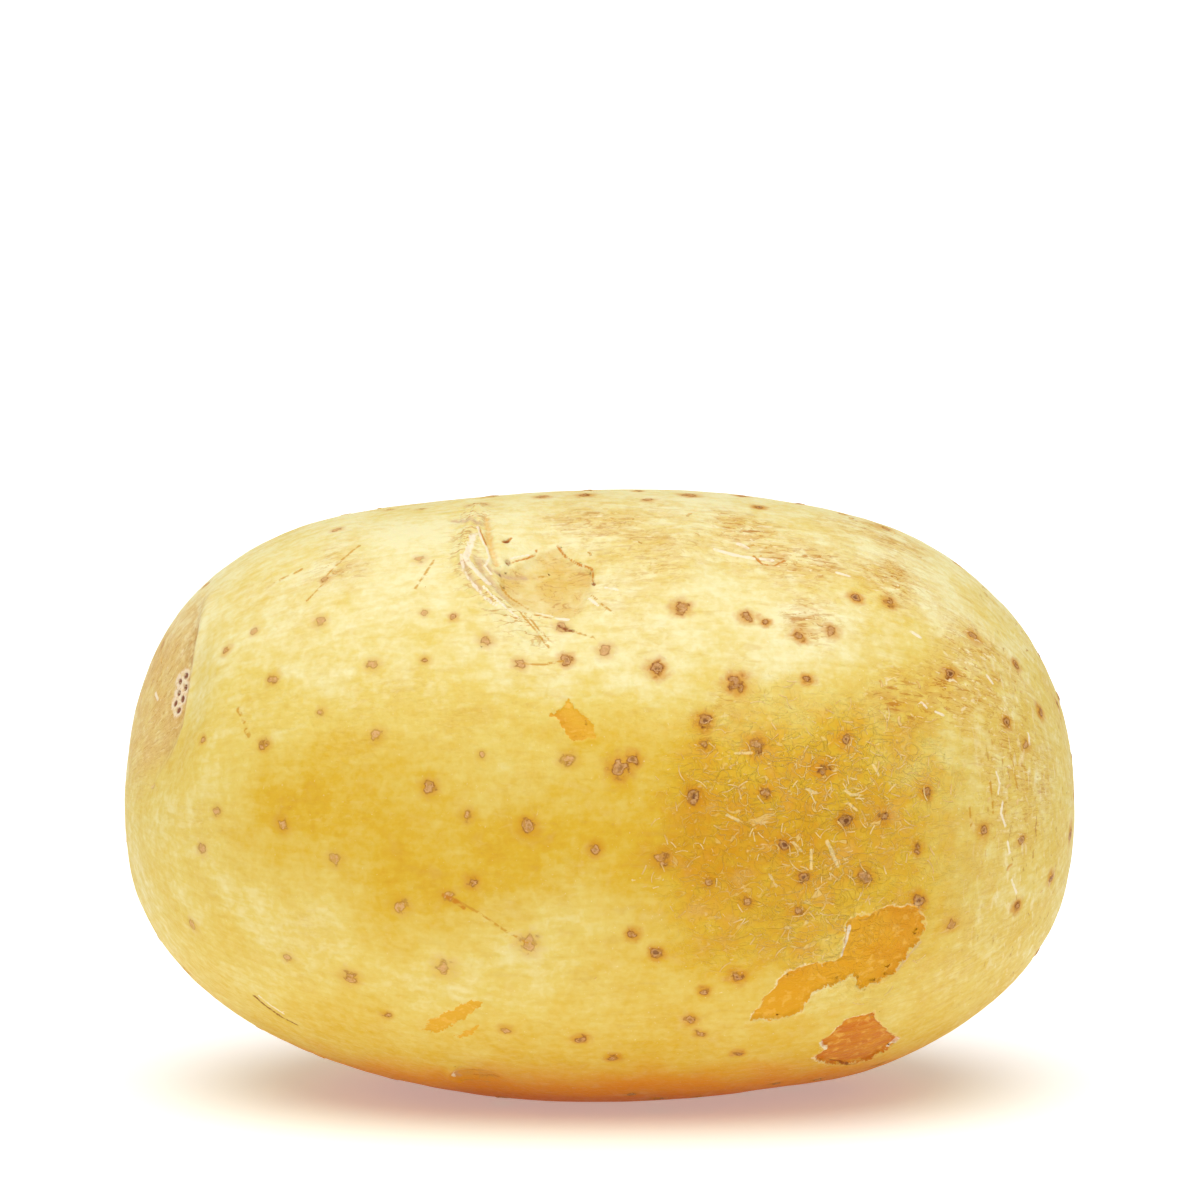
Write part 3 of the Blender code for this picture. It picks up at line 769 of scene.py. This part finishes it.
# The resting spot stays flat on the table: the relief fades out just above it.
SETTLED_HEIGHT = 1.2
settled = ease(points[:, 2], 0.0, SETTLED_HEIGHT)
points += normals * (lift * settled)[:, None]
points[:, 2] = np.maximum(points[:, 2], 0)
skin_mesh.vertices.foreach_set("co", (points * MM).astype(np.float32).ravel())
for name, values in masks.items():
    skin_mesh.attributes.new(name, "FLOAT", "POINT").data.foreach_set("value", values.astype(np.float32))
grown_layer = skin_mesh.attributes.new("grown", "FLOAT_VECTOR", "POINT")
grown_layer.data.foreach_set("vector", grown.astype(np.float32).ravel())
skin_mesh.shade_smooth()
skin_mesh.update()
skin = in_scene("tuber_skin", skin_mesh)

# Potato skin: a thin, slightly translucent corky layer over yellow flesh. It looks matt with a faint
# satin sheen, cloudy gold, and is speckled by cork.
skin_paint = bpy.data.materials.new("potato_skin")
skin_paint.use_nodes = True
tree = skin_paint.node_tree
body_place = add(tree, "ShaderNodeTexCoord", out="Object")
grown_place = add(tree, "ShaderNodeAttribute", out="Vector", attribute_name="grown")
pattern = {name: add(tree, "ShaderNodeAttribute", out="Fac", attribute_name=name) for name in masks}

# Noise patterns: lump size in mm, how far they are drawn out along the growth and round the girth, detail
# and distortion.
GRAINS = {
    "clouds": (9.0, 1.0, 1.0, 3, 0.0),
    "mottles": (2.6, 1.0, 1.0, 3, 0.3),
    "freckles": (0.8, 1.0, 1.0, 4, 0.3),
    "specks": (0.34, 1.0, 1.0, 2, 0.0),
    "streaks": (0.9, 3.0, 1.0, 4, 0.4),
    "dashes": (0.55, 3.2, 1.0, 3, 0.5),
    "russet_net": (1.1, 1.7, 1.0, 3, 1.2),
    "strands": (1.7, 1.2, 1.0, 1, 1.4),
    "short_strands": (1.1, 1.0, 1.0, 1, 1.0),
    "flakes": (0.6, 1.6, 1.0, 2, 0.6),
    "wrinkles": (0.7, 1.0, 4.5, 3, 0.5),
}
for name, (size, along_growth, round_body, detail, distortion) in GRAINS.items():
    scale = (1 / (size * along_growth * MM), 1 / (size * round_body * MM), 1 / (size * round_body * MM))
    source = body_place if along_growth == round_body else grown_place
    place = add(tree, "ShaderNodeMapping", {"Vector": source, "Scale": scale})
    links = {"Vector": place, "Scale": 1.0, "Detail": detail, "Distortion": distortion}
    pattern[name] = add(tree, "ShaderNodeTexNoise", links)

# How far a pattern is from its middle value: it is small along thin, winding lines.
for name in ("streaks", "russet_net", "strands", "short_strands"):
    gap = add(tree, "ShaderNodeMath", {0: pattern[name], 1: 0.5}, operation="SUBTRACT")
    pattern[name + "_gap"] = add(tree, "ShaderNodeMath", {0: gap}, operation="ABSOLUTE")


def amount_of(factors):
    """How much of something shows: the product of its factors.

    A factor is a pattern, the values where it begins to show and shows fully, and the most and the least
    that it gives. With nothing but its name, it is the pattern itself.
    """
    total = None
    for name, *fade in factors:
        value = pattern[name]
        if fade:
            low, high, most, least = (*fade, *(1.0, 0.0)[len(fade) - 2 :])
            links = {"Value": value, "From Min": low, "From Max": high, "To Min": least, "To Max": most}
            value = add(tree, "ShaderNodeMapRange", links, interpolation_type="SMOOTHSTEP")
        if total is not None:
            value = add(tree, "ShaderNodeMath", {0: total, 1: value}, operation="MULTIPLY")
        total = value
    return total


# Cloudy ground colour, from pale straw to deep gold.
GROUND_SPREADS = {"clouds": 0.07, "mottles": 0.055, "freckles": 0.05, "streaks": 0.045}
GROUND_STOPS = [(0.0, "E6DCA8"), (0.3, "DBC266"), (0.6, "D3AA2C"), (0.95, "C88C02")]
ground = pattern["golden"]
for name, spread in GROUND_SPREADS.items():
    swing = amount_of([(name, 0.3, 0.7, spread, -spread)])
    ground = add(tree, "ShaderNodeMath", {0: ground, 1: swing}, operation="ADD")
surface = add(tree, "ShaderNodeValToRGB", {"Fac": ground})
ground_elements = surface.node.color_ramp.elements
ground_elements[0].color = colour(GROUND_STOPS[0][1])
ground_elements[1].position, ground_elements[1].color = GROUND_STOPS[-1][0], colour(GROUND_STOPS[-1][1])
for height, shade in GROUND_STOPS[1:-1]:
    ground_elements.new(height).color = colour(shade)

# Lenticels and tears get ragged edges, finer than the mesh.
swing = amount_of([("freckles", 0.3, 0.7, 0.45, -0.45)])
pattern["pore_edge"] = add(tree, "ShaderNodeMath", {0: pattern["pore"], 1: swing}, operation="ADD")
swing = amount_of([("specks", 0.3, 0.7, 0.12, -0.12)])
pattern["tear_edge"] = add(tree, "ShaderNodeMath", {0: pattern["torn"], 1: swing}, operation="ADD")
BARE = ("tear_edge", 0.04, -0.03)

# Everything on the ground colour, from the lowest layer up: (colour, what it depends on).
LAYERS = [
    # Painted light low down: the orange of the table's warm bounce under the tuber, and a darker orange for
    # the shade where it rests.
    ("D88600", [("underside",)]),
    ("CC6E00", [("painted_contact_shade", 0.0, 1.0, 0.9)]),
    ("DCBE7E", [("stem",), ("mottles", 0.3, 0.7, 0.9, 0.4)]),
    ("B98A4C", [("crease",), ("freckles", 0.38, 0.6, 0.85, 0.15)]),
    ("C6800A", [("pore_edge", 3.0, 0.9, 0.85), ("pore_dark", 0.0, 1.0, 1.0, 0.35)]),
    # Russet: cork in streaks, dashes and a fine net, with pale flakes.
    ("D0A03C", [("russet",), ("mottles", 0.38, 0.6, 0.5)]),
    ("C8964A", [("russet",), ("russet_net", 0.42, 0.66, 0.6)]),
    ("C89F50", [("streaks", 0.58, 0.72, 0.25), ("busy",)]),
    ("E8DDB0", [("mottles", 0.56, 0.74, 0.14), ("busy",)]),
    ("B97C22", [("russet",), ("streaks_gap", 0.022, 0.007), ("mottles", 0.4, 0.56)]),
    ("B4741E", [("russet",), ("dashes", 0.57, 0.67, 0.9)]),
    ("B87F34", [("russet",), ("russet_net_gap", 0.022, 0.007), ("freckles", 0.42, 0.56, 0.85)]),
    ("EFE4BC", [("russet",), ("flakes", 0.61, 0.7, 0.8)]),
    # Tiny pale specks: painted glints, standing in for the skin's small sparkling highlights.
    ("F0E8C8", [("specks", 0.68, 0.8, 0.45), ("busy",)]),
    ("BC8B42", [("freckles", 0.7, 0.8, 0.45), ("busy",)]),
    # Wrinkles and cork flecks round the rose end.
    ("F0E8C6", [("rose_end",), ("wrinkles", 0.58, 0.68, 0.3)]),
    ("B5803A", [("rose_end",), ("wrinkles", 0.37, 0.3, 0.75), ("freckles", 0.4, 0.55)]),
    # Scuffed skin: stained deeper, and netted with fine pale strands.
    ("D59424", [("scuffed",), ("mottles", 0.42, 0.62, 0.4)]),
    ("E2C47C", [("scuffed",), ("strands_gap", 0.018, 0.006), ("mottles", 0.44, 0.54, 0.6)]),
    ("DFBD74", [("scuffed",), ("short_strands_gap", 0.022, 0.007), ("freckles", 0.46, 0.56, 0.55)]),
    ("ECD59C", [("scuffed",), ("flakes", 0.66, 0.76, 0.5)]),
    # Eyes.
    ("CFA248", [("eye_floor",), ("mottles", 0.3, 0.7, 0.62, 0.22)]),
    ("B98440", [("eye_floor",), ("russet_net_gap", 0.03, 0.01), ("mottles", 0.45, 0.58, 0.6)]),
    ("C79C58", [("wrinkled",), ("streaks_gap", 0.03, 0.009)]),
    ("C6A07C", [("pink",), ("freckles", 0.3, 0.6, 0.8, 0.4)]),
    ("D9A653", [("groove", 0.2, 1.0, 0.7), ("freckles", 0.3, 0.6, 1.0, 0.55)]),
    # Lenticels: a stained edge, a thin broken dark ring, a corky middle and, in the darker ones, a pit.
    ("A8722A", [("pore_edge", 1.35, 0.95), ("pore_dark", 0.0, 1.0, 0.85, 0.4)]),
    ("84480F", [("pore_edge", 1.08, 0.88), ("specks", 0.4, 0.54), ("pore_dark", 0.0, 1.0, 0.9, 0.25)]),
    ("D4A66C", [
        ("pore_edge", 0.86, 0.6), ("specks", 0.4, 0.56, 0.9, 0.25), ("pore_dark", 0.2, 1.0, 0.7, 1.0),
    ]),
    ("6E3C1A", [("pore_edge", 0.42, 0.1), ("pore_dark", 0.35, 0.9, 0.85)]),
    # Bare flesh, its paler and browner patches, and the lifted lip of skin along its edge.
    ("D9A42A", [BARE]),
    ("D6980C", [BARE, ("torn_deep",), ("mottles", 0.35, 0.65, 1.0, 0.45)]),
    ("CC8408", [BARE, ("clouds", 0.48, 0.62, 0.5)]),
    ("C46E08", [BARE, ("torn_dark",), ("streaks", 0.35, 0.6, 1.0, 0.55)]),
    ("E6B650", [BARE, ("freckles", 0.54, 0.68, 0.5)]),
    ("A8641A", [BARE, ("specks", 0.66, 0.76, 0.45)]),
    ("EBDCAE", [
        ("lip",), ("tear_edge", 0.3, 0.12), ("tear_edge", -0.06, 0.03), ("freckles", 0.4, 0.54, 0.95, 0.35),
    ]),
    # Strokes.
    ("C48C26", [("ochre", 0.2, 0.7, 0.8), ("freckles", 0.4, 0.52, 1.0, 0.1)]),
    ("C27A14", [("crack", 0.2, 0.75, 0.9), ("freckles", 0.38, 0.5, 1.0, 0.2)]),
    ("ECDFC4", [("paper", 0.25, 0.65, 0.85), ("freckles", 0.36, 0.48, 1.0, 0.45)]),
    ("E6C98A", [("sliver", 0.25, 0.65, 0.85)]),
    ("8A4414", [("dark", 0.2, 0.75, 0.9), ("specks", 0.36, 0.5, 1.0, 0.5)]),
    # The scar of the stolon: a pale corky rim round dark pits.
    ("EBDABC", [("scar", 0.2, 0.6, 0.85), ("specks", 0.4, 0.54, 1.0, 0.5)]),
    ("7C3614", [("pits", 0.25, 0.6, 0.9), ("specks", 0.34, 0.46, 1.0, 0.35)]),
]
for shade, factors in LAYERS:
    links = {"Fac": amount_of(factors), "Color1": surface, "Color2": colour(shade)}
    surface = add(tree, "ShaderNodeMixRGB", links)

SKIN_ROUGHNESS = ("freckles", 0.3, 0.7, 0.60, 0.46)
FLESH_ROUGHNESS = (0.36, 0.36, 0.36, 1.0)
links = {"Fac": amount_of([BARE]), "Color1": amount_of([SKIN_ROUGHNESS]), "Color2": FLESH_ROUGHNESS}
roughness = add(tree, "ShaderNodeMixRGB", links)

# Pores, shreds and wrinkles too fine for the mesh: 0.3 to 1 mm across, a few hundredths of a mm high.
FINE_RELIEF = [
    (0.50, [("freckles",)]),
    (0.25, [("specks",)]),
    (0.45, [("scuffed",), ("strands_gap", 0.030, 0.009)]),
    (0.35, [("scuffed",), ("short_strands_gap", 0.030, 0.009)]),
    (0.60, [("russet",), ("dashes",)]),
    (0.25, [("flakes",)]),
    (0.80, [("rose_end",), ("wrinkles",)]),
]
fine = 0.0
for weight, factors in FINE_RELIEF:
    fine = add(tree, "ShaderNodeMath", {0: amount_of(factors), 1: weight, 2: fine}, operation="MULTIPLY_ADD")
bump = add(tree, "ShaderNodeBump", {"Height": fine, "Distance": 0.22 * MM, "Strength": 0.9})
connect(tree.nodes["Principled BSDF"], {
    "Base Color": surface, "Roughness": roughness, "Normal": bump, "IOR": 1.42, "Specular IOR Level": 0.20,
    "Subsurface Weight": 0.12, "Subsurface Radius": (1.0, 0.45, 0.15), "Subsurface Scale": 1.2 * MM,
})

skin_mesh.materials.append(skin_paint)
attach(skin, "root")
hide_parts("potato")


# --------------------------------------------
# Shreds of dried skin. Where the skin was scuffed in handling it curled up into fine pale threads
# and small chips, which still cling to the tuber.
# --------------------------------------------
shred_paint = bpy.data.materials.new("dried_potato_skin")
shred_paint.use_nodes = True
paint_tree = shred_paint.node_tree
shred_place = add(paint_tree, "ShaderNodeTexCoord", out="Object")
SHRED_MOTTLE = 1.5 * MM
links = {"Vector": shred_place, "Scale": 1 / SHRED_MOTTLE, "Detail": 2}
shred_noise = add(paint_tree, "ShaderNodeTexNoise", links)
shred_colour = add(paint_tree, "ShaderNodeValToRGB", {"Fac": shred_noise})
shred_elements = shred_colour.node.color_ramp.elements
shred_elements[0].position, shred_elements[0].color = 0.35, colour("D0A044")
shred_elements[1].position, shred_elements[1].color = 0.66, colour("E4C686")
connect(paint_tree.nodes["Principled BSDF"], {
    "Base Color": shred_colour, "Roughness": 0.45, "IOR": 1.42,
    "Subsurface Weight": 0.1, "Subsurface Radius": (1.0, 0.6, 0.3), "Subsurface Scale": 0.3 * MM,
})

group = bpy.data.node_groups.new("scattered_shreds", "GeometryNodeTree")
SHRED_INPUTS = {
    "Mask": "String", "Shreds per Area": "Float", "Length": "Float", "Breadth": "Float",
    "Sweep": "Float", "Seed": "Int", "Material": "Material",
}
group.interface.new_socket("Geometry", in_out="INPUT", socket_type="NodeSocketGeometry")
for name, kind in SHRED_INPUTS.items():
    group.interface.new_socket(name, in_out="INPUT", socket_type="NodeSocket" + kind)
group.interface.new_socket("Geometry", in_out="OUTPUT", socket_type="NodeSocketGeometry")
entry = group.nodes.new("NodeGroupInput").outputs
where = add(group, "GeometryNodeInputNamedAttribute", {"Name": entry["Mask"]}, data_type="FLOAT")
GATHERING = 1.5  # above 1, the shreds gather where the mask is strongest
where_strong = add(group, "ShaderNodeMath", {0: where, 1: GATHERING}, operation="POWER")
density_links = {0: where_strong, 1: entry["Shreds per Area"]}
density = add(group, "ShaderNodeMath", density_links, operation="MULTIPLY")
spot_links = {"Mesh": entry["Geometry"], "Density": density, "Seed": entry["Seed"]}
spots = add(group, "GeometryNodeDistributePointsOnFaces", spot_links, distribute_method="RANDOM")
facing_out = spots.node.outputs["Rotation"]
# One shred: a flattened thread on a shallow arc, thinner at its ends.
SMALLEST_SHRED, LARGEST_SHRED = 0.25, 1.5  # times the usual size
SHRED_STEPS = 6
SHRED_SIDES = 5
SHRED_TAPER = 3.2  # times the square of how far along from the middle, of 0.5 at an end
SHRED_FLATNESS = (1.0, 1.0, 0.6)
arc_radius = add(group, "ShaderNodeMath", {0: entry["Length"], 1: entry["Sweep"]}, operation="DIVIDE")
arc_links = {"Radius": arc_radius, "Sweep Angle": entry["Sweep"], "Resolution": SHRED_STEPS}
arc = add(group, "GeometryNodeCurveArc", {"Start Angle": 0.0, **arc_links})
arc_shift = add(group, "ShaderNodeMath", {0: arc_radius, 1: -1.0}, operation="MULTIPLY")
to_middle = add(group, "ShaderNodeCombineXYZ", {"X": arc_shift})
arc = add(group, "GeometryNodeTransform", {"Geometry": arc, "Translation": to_middle})
step_share = add(group, "GeometryNodeSplineParameter")
from_middle = add(group, "ShaderNodeMath", {0: step_share, 1: 0.5}, operation="SUBTRACT")
squared = add(group, "ShaderNodeMath", {0: from_middle, 1: from_middle}, operation="MULTIPLY")
taper = add(group, "ShaderNodeMath", {0: squared, 1: -SHRED_TAPER, 2: 1.0}, operation="MULTIPLY_ADD")
arc = add(group, "GeometryNodeSetCurveRadius", {"Curve": arc, "Radius": taper})
profile_links = {"Resolution": SHRED_SIDES, "Radius": entry["Breadth"]}
profile = add(group, "GeometryNodeCurvePrimitiveCircle", profile_links)
thread_links = {"Curve": arc, "Profile Curve": profile, "Fill Caps": True}
thread = add(group, "GeometryNodeCurveToMesh", thread_links)
thread = add(group, "GeometryNodeTransform", {"Geometry": thread, "Scale": SHRED_FLATNESS})
# The random node's number sockets: least is 2, most is 3, and the number comes out of 1.
turn_links = {2: 0.0, 3: math.tau, "Seed": 3}
random_turn = add(group, "FunctionNodeRandomValue", turn_links, out=1, data_type="FLOAT")
spin = add(group, "ShaderNodeCombineXYZ", {"Z": random_turn})
turned = add(group, "FunctionNodeRotateRotation", {0: facing_out, 1: spin}, rotation_space="LOCAL")
size_links = {2: SMALLEST_SHRED, 3: LARGEST_SHRED, "Seed": 4}
random_size = add(group, "FunctionNodeRandomValue", size_links, out=1, data_type="FLOAT")
placed_links = {"Points": spots, "Instance": thread, "Rotation": turned, "Scale": random_size}
placed = add(group, "GeometryNodeInstanceOnPoints", placed_links)
real = add(group, "GeometryNodeRealizeInstances", {0: placed})
painted = add(group, "GeometryNodeSetMaterial", {"Geometry": real, "Material": entry["Material"]})
group.links.new(painted, group.nodes.new("NodeGroupOutput").inputs[0])

# Curled threads and straighter slivers in the scuffed skin, and broader chips in the russeted skin.
# (name, mask, shreds in a square metre, length and breadth in mm, sweep in radians, seed)
SHREDS = [
    ("skin_threads", "thready", 2.6e5, 1.2, 0.045, 0.9, 5),
    ("skin_slivers", "thready", 4.5e5, 0.75, 0.060, 0.3, 11),
    ("skin_chips", "russet", 1.0e5, 0.7, 0.12, 1.6, 8),
]
for piece_name, mask, per_area, length, breadth, sweep, seed in SHREDS:
    holder = in_scene(piece_name + "_holder", skin_mesh)
    scatter = holder.modifiers.new("shreds", "NODES")
    scatter.node_group = group
    values = (mask, per_area, length * MM, breadth * MM, sweep, seed, shred_paint)
    for name, value in zip(SHRED_INPUTS, values):
        scatter[group.interface.items_tree[name].identifier] = value
    bpy.context.view_layer.update()
    evaluated = holder.evaluated_get(bpy.context.evaluated_depsgraph_get())
    shred_mesh = bpy.data.meshes.new_from_object(evaluated)
    holder.modifiers.remove(scatter)
    bpy.data.objects.remove(holder)
    shred_mesh.name = piece_name
    shred_mesh.shade_smooth()
    shreds = in_scene(piece_name, shred_mesh)
    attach(shreds, "root")
